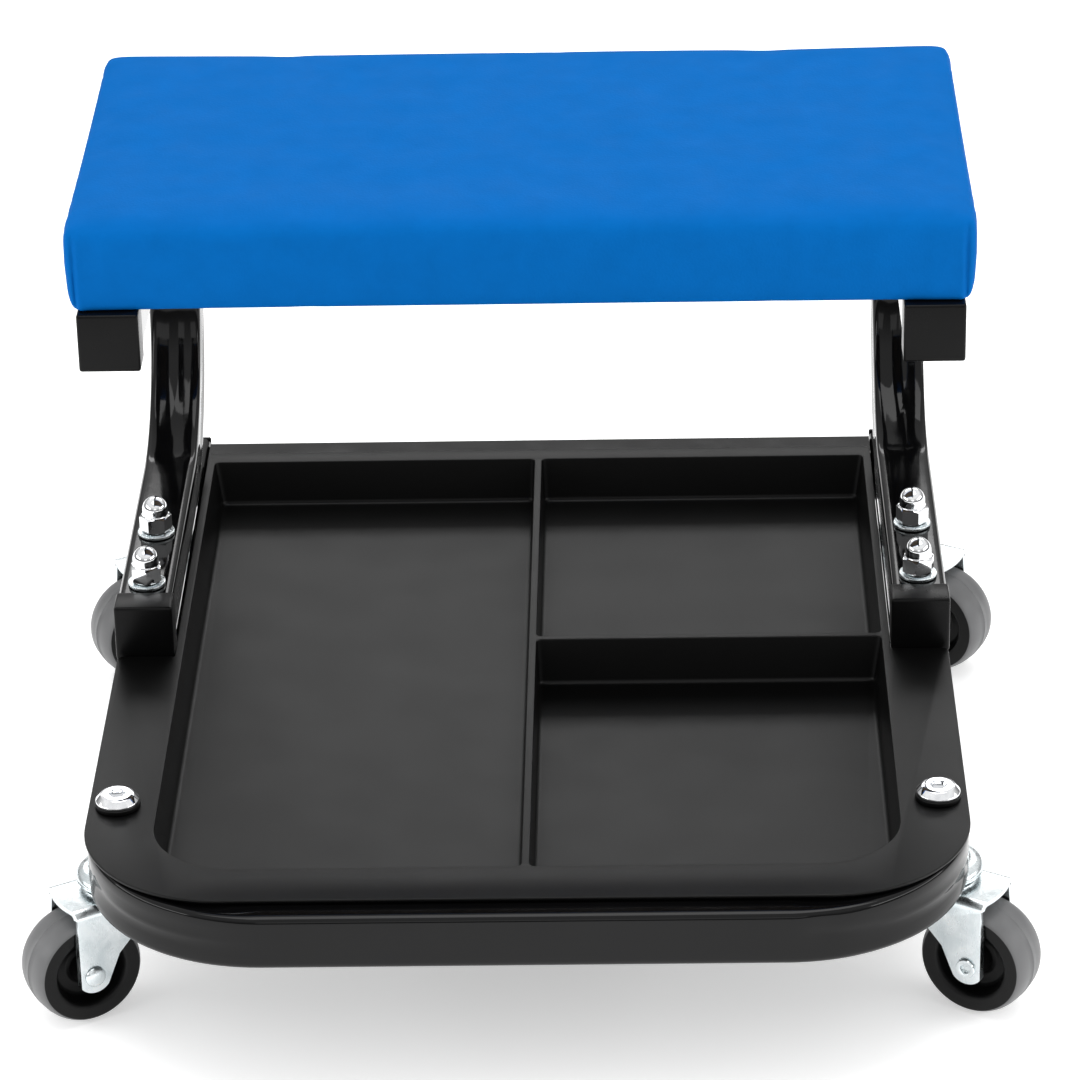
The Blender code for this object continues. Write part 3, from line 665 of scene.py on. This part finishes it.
def build_tray_bolts():
    head, washer = button_head(9.4 * MM, 3.8 * MM, 7 * MM), plain_washer(9.8 * MM, 5 * MM, 2 * MM)
    for word, side in SIDES:
        low, high, centre = span(f"tray_washer_{word}")
        add(f"thick_washer_{word}", washer, WASHER, replaces=[f"tray_washer_{word}"],
            at=standing(centre.x, centre.y, low.z))
        add(f"tray_bolt_head_{word}", head, CHROME, replaces=[f"caster_bolt_front_{word}"], angle=30,
            at=standing(centre.x, centre.y, high.z + 0.1 * MM, 0.4 * side))


# ---- casters -----------------------------------------------------------------------------------
def race_rows(top):
    """The fixed cup's profile: a domed, ringed pressing with a rolled edge, over the kingpin."""
    return rounded([
        (5.4 * MM, top), (13.0 * MM, top), (14.2 * MM, top - 1.2 * MM), (16.4 * MM, top - 1.5 * MM),
        (18.9 * MM, top - 2.6 * MM), (20.0 * MM, top - 4.2 * MM), (20.0 * MM, top - 6.0 * MM),
        (18.9 * MM, top - 6.2 * MM), (18.4 * MM, top - 4.8 * MM), (12.6 * MM, top - 2.2 * MM),
        (7.3 * MM, top - 2.2 * MM), (7.3 * MM, 55.7 * MM), (9.2 * MM, 55.6 * MM),
        (9.2 * MM, 54.4 * MM), (5.4 * MM, 54.4 * MM),
    ], 0.7 * MM, 4)


def ball_ring(centre, count=17):
    """Bearing balls in the gap between the cup and the fork's crown."""
    bm = bmesh.new()
    ring = 14.6 * MM
    for i in range(count):
        turn = 2 * math.pi * i / count
        spot = (centre.x + ring * math.cos(turn), centre.y + ring * math.sin(turn), centre.z)
        bmesh.ops.create_icosphere(bm, subdivisions=3, radius=2.1 * MM, matrix=Matrix.Translation(spot))
    return mesh_from(bm, "balls")


def fork_mesh(crown):
    """The pressed fork: a rounded channel cut to its side outline, with a raised seat for the balls."""
    inside, sheet, bend = 12.6 * MM, 2.2 * MM, 4.0 * MM
    outside = inside + sheet
    over = [(-outside, 10 * MM), *arc((-outside + bend, crown - bend), bend, 180, 90, 8),
            *arc((outside - bend, crown - bend), bend, 90, 0, 8), (outside, 10 * MM)]
    under = [(inside, 10 * MM), *arc((inside - bend + sheet, crown - bend), bend - sheet, 0, 90, 6),
             *arc((-inside + bend - sheet, crown - bend), bend - sheet, 90, 180, 6), (-inside, 10 * MM)]
    rings = [[(x, y, z) for y, z in over + under] for x in (-19 * MM, 34 * MM)]
    channel = lofted(rings)
    side = [
        (-17.5 * MM, 54.0 * MM), *arc((-14.5 * MM, crown - 2.5 * MM + 3 * MM), 3 * MM, 180, 90, 4),
        (TRAIL + 11 * MM, crown + 1 * MM), (TRAIL + 11 * MM, crown - 3.2 * MM),
        (TRAIL + 6.2 * MM, crown - 4.2 * MM), (TRAIL + 6.9 * MM, 46 * MM),
        *arc((TRAIL, WHEEL_RADIUS), 8.0 * MM, 8, -140, 26),
        (TRAIL - 12 * MM, 33 * MM), (TRAIL - 22 * MM, 43 * MM), (-11.0 * MM, 49.5 * MM),
        *arc((-13.0 * MM, 53.0 * MM), 3 * MM, -60, -90, 3),
    ]
    cut = combined(channel, [prism(side, -40 * MM, 40 * MM, "Y")], "INTERSECT")
    seat = turned(rounded([
        (8.2 * MM, crown - 0.4 * MM), (8.2 * MM, crown + 0.5 * MM), (10.6 * MM, crown + 1.4 * MM),
        (12.2 * MM, crown + 1.3 * MM), (14.6 * MM, crown + 0.6 * MM), (17.0 * MM, crown + 1.3 * MM),
        (18.2 * MM, crown + 0.8 * MM), (18.4 * MM, crown - 0.4 * MM),
    ], 0.6 * MM), 64)
    plan = [
        *arc((-11 * MM, -6.8 * MM), 8 * MM, 180, 270, 8), *arc((-9.2 * MM, 0), 40.5 * MM, -21.5, 21.5, 14),
        *arc((-11 * MM, 6.8 * MM), 8 * MM, 90, 180, 8),
    ]
    crown_plan = prism(plan, 0, 80 * MM)
    return joined([bevelled(combined(cut, [crown_plan], "INTERSECT"), 0.4 * MM, 2), seat], "fork")


def tyre_mesh():
    """The tread, round Z: crowned, with a mould line, and cut off square at the wheel's flat sides."""
    half = [
        (24.99 * MM, 0.20 * MM), (24.85 * MM, 0.38 * MM), (24.80 * MM, 3.5 * MM), (24.55 * MM, 6.2 * MM),
        (24.05 * MM, 8.6 * MM), (23.3 * MM, 10.4 * MM), (22.7 * MM, 11.3 * MM), (22.3 * MM, 11.5 * MM),
        (20.0 * MM, 11.4 * MM),
    ]
    mirrored = [(r, -z) for r, z in reversed(half)]
    return turned([*half[::-1], *mirrored], 120)


def hub_mesh():
    """The wheel's core, round Z: a flat side ring, a deep smooth recess and a boss for the axle."""
    web, boss, end = 3.0 * MM, 6.4 * MM, 11.9 * MM
    half = [
        (3.3 * MM, end), (boss - 0.5 * MM, end), (boss, end - 0.8 * MM), (boss + 0.9 * MM, web + 1.2 * MM),
        (boss + 2.4 * MM, web), (13.0 * MM, web), (14.4 * MM, web + 1.2 * MM), (15.4 * MM, 9.6 * MM),
        (16.2 * MM, 11.0 * MM), (17.2 * MM, 11.55 * MM), (22.35 * MM, 11.55 * MM), (22.4 * MM, 11.3 * MM),
    ]
    mirrored = [(r, -z) for r, z in reversed(half)]
    return turned(rounded([*half, *mirrored], 0.4 * MM), 96)


def axle_mesh(face):
    """A rivet along Z: a domed head at +Z and a hollow rolled end at -Z."""
    head = [(4.7 * MM * math.cos(a), face + 2.0 * MM * math.sin(a))
            for a in (math.radians(d) for d in range(80, -1, -10))]
    return turned([
        (0, face + 2.0 * MM), *head, (3 * MM, face), (3 * MM, -face), (4.1 * MM, -face),
        (4.45 * MM, -face - 0.5 * MM), (4.1 * MM, -face - 1.1 * MM), (3.2 * MM, -face - 1.25 * MM),
        (2.3 * MM, -face - 0.9 * MM), (2.0 * MM, -face - 0.1 * MM), (1.9 * MM, -face + 3 * MM),
        (0, -face + 3.4 * MM),
    ], 48)


def build_casters():
    top, _, _ = span("base_frame")
    fork = fork_mesh(crown=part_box("caster_fork_front_left")[1].z)
    tyre, hub, axle = tyre_mesh(), hub_mesh(), axle_mesh(face=15.0 * MM)
    race = turned(race_rows(top.z - 0.3 * MM), 72)
    for row in ROWS:
        for word, side in SIDES:
            tag = f"{row}_{word}"
            _, _, pin = span(f"caster_race_{tag}")
            turn = math.radians(-TRAIL_TURN if side > 0 else 180 + TRAIL_TURN)
            spot = Matrix.Translation((pin.x, pin.y, 0))
            trail = spot @ Matrix.Rotation(turn, 4, "Z")
            axle_at = trail @ Matrix.Translation((TRAIL, 0, WHEEL_RADIUS))
            spin = axle_at @ Matrix.Rotation(-math.pi / 2, 4, "X")
            add(f"caster_cup_{tag}", race, ZINC, replaces=[f"caster_race_{tag}"], at=spot)
            balls = ball_ring(Vector((pin.x, pin.y, BALLS_HIGH)))
            add(f"caster_bearing_{tag}", balls, CHROME, f"swivel_{tag}", [f"caster_balls_{tag}"])
            add(f"caster_yoke_{tag}", fork, ZINC, f"swivel_{tag}", [f"caster_fork_{tag}"], 32, trail)
            add(f"caster_rivet_{tag}", axle, ZINC, f"swivel_{tag}", [f"caster_axle_{tag}"], 40, spin)
            add(f"caster_tyre_{tag}", tyre, RUBBER, f"wheel_{tag}", [f"caster_wheel_{tag}"], 40, spin)
            add(f"caster_hub_{tag}", hub, HUB, f"wheel_{tag}", [], 40, spin)


def build_caster_bolts():
    head_height = 4.8 * MM
    nut, head = plain_nut(16 * MM, 5 * MM, 5.2 * MM), button_head(8.2 * MM, head_height, 6 * MM)
    for word, _ in SIDES:
        low, _, centre = span(f"caster_nut_front_{word}")
        add(f"kingpin_nut_{word}", nut, ZINC, replaces=[f"caster_nut_front_{word}"], angle=28,
            at=standing(centre.x, centre.y, low.z))
        low, _, centre = span(f"caster_bolt_rear_{word}")
        add(f"kingpin_bolt_head_{word}", head, ZINC, angle=30,
            replaces=[f"caster_bolt_rear_{word}", f"caster_nut_rear_{word}"],
            at=hanging(centre.x, centre.y, low.z, head_height))


# ---- seat --------------------------------------------------------------------------------------
def simulate(obj, reach):
    """Swells the pad under pressure, and keeps every point within reach of where it began."""
    start = np.array([v.co for v in obj.data.vertices])
    cloth = obj.modifiers.new("swell", "CLOTH")
    cloth.settings.quality = 6
    cloth.settings.mass = 0.3
    cloth.settings.tension_stiffness = cloth.settings.compression_stiffness = 25
    cloth.settings.bending_stiffness = 1.2
    cloth.settings.use_pressure = True
    cloth.settings.uniform_pressure_force = 4
    cloth.settings.effector_weights.gravity = 0
    cloth.collision_settings.use_collision = False
    scene = bpy.context.scene
    for step in range(1, 21):
        scene.frame_set(step)
    swollen = bpy.data.meshes.new_from_object(obj.evaluated_get(bpy.context.evaluated_depsgraph_get()))
    end = np.array([v.co for v in swollen.vertices])
    obj.modifiers.clear()
    obj.data = swollen
    moved = end - start
    length = np.linalg.norm(moved, axis=1, keepdims=True)
    end = start + moved * np.minimum(1, reach / np.maximum(length, 1e-9))
    swollen.vertices.foreach_set("co", end.ravel())
    scene.frame_set(1)


def hump(value, middle, width):
    """A smooth rise from 0 to 1 and back, round the middle."""
    return math.exp(-((value - middle) / width) ** 2)


def sewn(co, low, high):
    """The finished pad's points, with corner seams, pulled folds and soft wrinkles."""
    middle = (low + high) / 2
    half = (high - low) / 2
    for p in co:
        sx, sy = math.copysign(1, p[0] - middle.x), math.copysign(1, p[1] - middle.y)
        edge_x, edge_y = half.x - abs(p[0] - middle.x), half.y - abs(p[1] - middle.y)
        rise = min(1.0, max(0.0, (p[2] - low.z) / (high.z - low.z)))
        # 1 on the front and back walls, or on the side walls, and 0 further in
        wall = 1 - min(1.0, max(0.0, edge_y) / (5 * MM))
        flank = 1 - min(1.0, max(0.0, edge_x) / (5 * MM))

        # upright seams beside the corners, with a raised lip
        below_top = min(1.0, 2.2 - 2 * rise)
        seam = hump(edge_x, 4.6 * MM, 0.8 * MM) * wall * below_top
        lip = hump(edge_x, 7.0 * MM, 1.3 * MM) * wall * below_top
        p[1] += sy * (lip * 0.6 - seam * 1.6) * MM

        # folds that fade away from the corners
        fade_x, fade_y = math.exp(-edge_x / (30 * MM)), math.exp(-edge_y / (25 * MM))
        p[1] += sy * fade_x * wall * 0.3 * MM * math.sin(edge_x / MM * 0.40 + rise * 2.4 + sx)
        p[0] += sx * fade_y * flank * 0.3 * MM * math.sin(edge_y / MM * 0.42 + rise * 2 + sy)

        # wrinkles along the top's edges and over the walls
        wave = noise.noise(Vector((p[0] * 12, p[1] * 34, sx + 4.1)))
        if rise > 0.8:
            near = math.exp(-edge_y / (20 * MM)) + 0.5 * math.exp(-edge_x / (24 * MM))
            p[2] += 0.28 * MM * wave * near
        p[1] -= sy * wall * 0.45 * MM * noise.noise(Vector((p[0] * 18, p[2] * 46, sy)))

        # the side walls draw in towards the hem
        p[0] -= sx * flank * max(0.0, 0.5 - rise) * 2.6 * MM
    return co


def pad_shape(low, high):
    """The pad before it swells: rounded above, nearly square below."""
    corner, over, under = 5.5 * MM, 3.0 * MM, 1.5 * MM
    levels, steps = [(low.z, under), (low.z + under, 0)], 6
    for i in range(steps + 1):
        turn = math.pi / 2 * i / steps
        levels.append((high.z - over * (1 - math.sin(turn)), over * (1 - math.cos(turn))))
    rings = []
    for z, inset in levels:
        outline = rounded_outline(low.x + inset, high.x - inset, low.y + inset, high.y - inset,
                                  [corner - inset] * 4, steps)
        rings.append([(x, y, z) for x, y in outline])
    return lofted(rings)


def fitted(co, low, high):
    """The pad's points, stretched to fill the cover's box."""
    first, last = co.min(0), co.max(0)
    return np.array(low) + (co - first) / (last - first) * (np.array(high) - np.array(low))


def finer_corners(mesh, low, high, reach):
    """The mesh with its upright corners divided once more, so that a seam can be cut into them."""
    middle, half = (low + high) / 2, (high - low) / 2
    bm = bmesh.new()
    bm.from_mesh(mesh)

    def in_corner(spot):
        return abs(spot.x - middle.x) > half.x - reach and abs(spot.y - middle.y) > half.y - reach

    near = [e for e in bm.edges if all(in_corner(v.co) for v in e.verts)]
    bmesh.ops.subdivide_edges(bm, edges=near, cuts=1, use_grid_fill=True)
    return mesh_from(bm, "pad")


def build_cushion():
    """The upholstered pad: a swollen shell, open underneath where the board shows inside its hem."""
    low, high, middle = span("seat_cover")
    draw = Vector((1.5 * MM, 1.5 * MM, 2 * MM))
    pad = loose(pad_shape(low + draw, high - draw), "seat_cushion")
    remesh = pad.modifiers.new("voxels", "REMESH")
    remesh.mode, remesh.voxel_size = "VOXEL", 4.2 * MM
    pad = loose(baked(pad), "seat_cushion")
    simulate(pad, 2.0 * MM)
    pad.modifiers.new("finer", "SUBSURF").levels = 1
    shape = finer_corners(baked(pad), low, high, 13 * MM)

    # the pad's rounded underside is pressed flat where the board lies
    bottom, sag, hem = low.z + 0.2 * MM, 2.5 * MM, 15 * MM
    co = np.array([v.co for v in shape.vertices])
    co = sewn(fitted(co, low - Vector((0, 0, sag)), high), low, high)
    co[:, 2] = np.maximum(co[:, 2], bottom)
    shape.vertices.foreach_set("co", co.ravel())
    hem_x, hem_y = (high.x - low.x) / 2 - hem, (high.y - low.y) / 2 - hem

    def inside_hem(spot):
        return abs(spot.x - middle.x) < hem_x and abs(spot.y - middle.y) < hem_y

    bm = bmesh.new()
    bm.from_mesh(shape)
    flat = [f for f in bm.faces if f.calc_center_median().z < bottom + 0.4 * MM]
    bmesh.ops.delete(bm, geom=[f for f in flat if all(inside_hem(v.co) for v in f.verts)], context="FACES")
    pad = loose(mesh_from(bm, "seat_cushion"))
    skin = pad.modifiers.new("skin", "SOLIDIFY")
    skin.thickness, skin.offset = 1.1 * MM, -1
    cushion = add("seat_cushion", baked(pad), LEATHER, replaces=["seat_cover", "seat_foam"], angle=80)


def build_staples():
    """The staples that hold the cover's hem to the board."""
    low, high, middle = span("seat_cover")
    arm_x = abs(span("leg_left")[2].x)
    inset, half_length, half_wire = 10 * MM, 5 * MM, 0.5 * MM
    reach_x, reach_y = ((high.x - low.x) / 2 - inset) * 0.93, (high.y - low.y) / 2 - inset
    z = low.z + 0.1 * MM
    staples, each_way = [], 7
    for i in range(-each_way, each_way + 1):
        x = middle.x + reach_x * i / each_way
        if abs(abs(x) - arm_x) > 20 * MM:     # none where an arm lies
            for y in (middle.y - reach_y, middle.y + reach_y):
                staples.append(block((x - half_length, y - half_wire, z - half_wire),
                                     (x + half_length, y + half_wire, z + 0.3 * MM), 0.2 * MM, 2))
    add("cover_staples", joined(staples, "staples"), ZINC)


def build_board():
    """The seat board is the CAD's own, with plywood's look."""
    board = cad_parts["seat_board"]
    board.data.materials.clear()
    board.data.materials.append(PLY)


# ---- stage -------------------------------------------------------------------------------------
LAMPS = (                     # name, place, size, watts
    ("overhead", (0.1, -0.15, 2.2), (2.0, 1.2), 21),
    ("front_fill", (0.2, -3.2, 1.1), (1.4, 0.8), 3),
    ("left_strip", (-1.5, -0.5, 0.65), (1.5, 0.3), 7),
    ("right_strip", (1.5, -0.4, 0.65), (1.5, 0.3), 7),
    ("back_strip", (0, 1.9, 1.2), (2.4, 0.35), 9),
)
AIM = Vector((0, 0, 0.12))    # what the lamps point at

# the viewpoint: a long lens, nearly square on, looking down on the tray
LENS, SENSOR = 162.5, 36.0    # millimetres
VIEW_FROM = (0.05105, -1.94681, 1.13373)
PAN, TILT, ROLL = -0.0239, -0.4684, -0.0225


def lamp(name, spot, size, power):
    """A soft rectangular lamp."""
    light = bpy.data.lights.new(name, "AREA")
    light.shape, light.size, light.size_y, light.energy = "RECTANGLE", *size, power
    obj = bpy.data.objects.new(name, light)
    obj.location = spot
    obj.rotation_euler = (AIM - Vector(spot)).to_track_quat("-Z", "Y").to_euler()
    bpy.context.scene.collection.objects.link(obj)


def build_floor():
    bm = bmesh.new()
    bmesh.ops.create_grid(bm, x_segments=8, y_segments=8, size=6)
    floor = loose(mesh_from(bm, "floor"), "floor")
    paper = Graph("pale_paper", (0.92, 0.92, 0.92), 0.9, Specular_IOR_Level=0.1, Emission_Strength=0.42)
    paper.shader.inputs["Emission Color"].default_value = (1, 1, 1, 1)
    paper.tint(paper.noise(3), (0.91, 0.91, 0.91), (0.93, 0.93, 0.93))
    floor.data.materials.append(paper.material)


def build_sky():
    """A studio's light all round, darker near the horizon and below."""
    world = bpy.data.worlds.new("studio")
    world.use_nodes = True
    nodes, links = world.node_tree.nodes, world.node_tree.links
    apart = nodes.new("ShaderNodeSeparateXYZ")
    ramp = nodes.new("ShaderNodeValToRGB")
    for element, position, level in zip(ramp.color_ramp.elements, (0.03, 0.6), (0.16, 0.95)):
        element.position, element.color = position, (level, level, level, 1)
    links.new(nodes.new("ShaderNodeTexCoord").outputs["Generated"], apart.inputs["Vector"])
    links.new(apart.outputs["Z"], ramp.inputs["Fac"])
    links.new(ramp.outputs["Color"], nodes["Background"].inputs["Color"])
    bpy.context.scene.world = world


def build_camera():
    camera = bpy.data.cameras.new("camera")
    camera.sensor_width, camera.lens = SENSOR, LENS
    camera.clip_start, camera.clip_end = 0.05, 30
    view = bpy.data.objects.new("camera", camera)
    aim = Matrix.Rotation(-PAN, 4, "Z") @ Matrix.Rotation(math.pi / 2 + TILT, 4, "X")
    view.matrix_world = Matrix.Translation(VIEW_FROM) @ aim @ Matrix.Rotation(ROLL, 4, "Z")
    bpy.context.scene.collection.objects.link(view)
    bpy.context.scene.camera = view
    bpy.context.scene.view_settings.view_transform = "Standard"


build_floor()
build_sky()
for each in LAMPS:
    lamp(*each)
build_camera()
build_tubes()
build_caps()
build_tray()
build_leg_fasteners()
build_seat_screws()
build_tray_bolts()
build_casters()
build_caster_bolts()
build_cushion()
build_staples()
build_board()
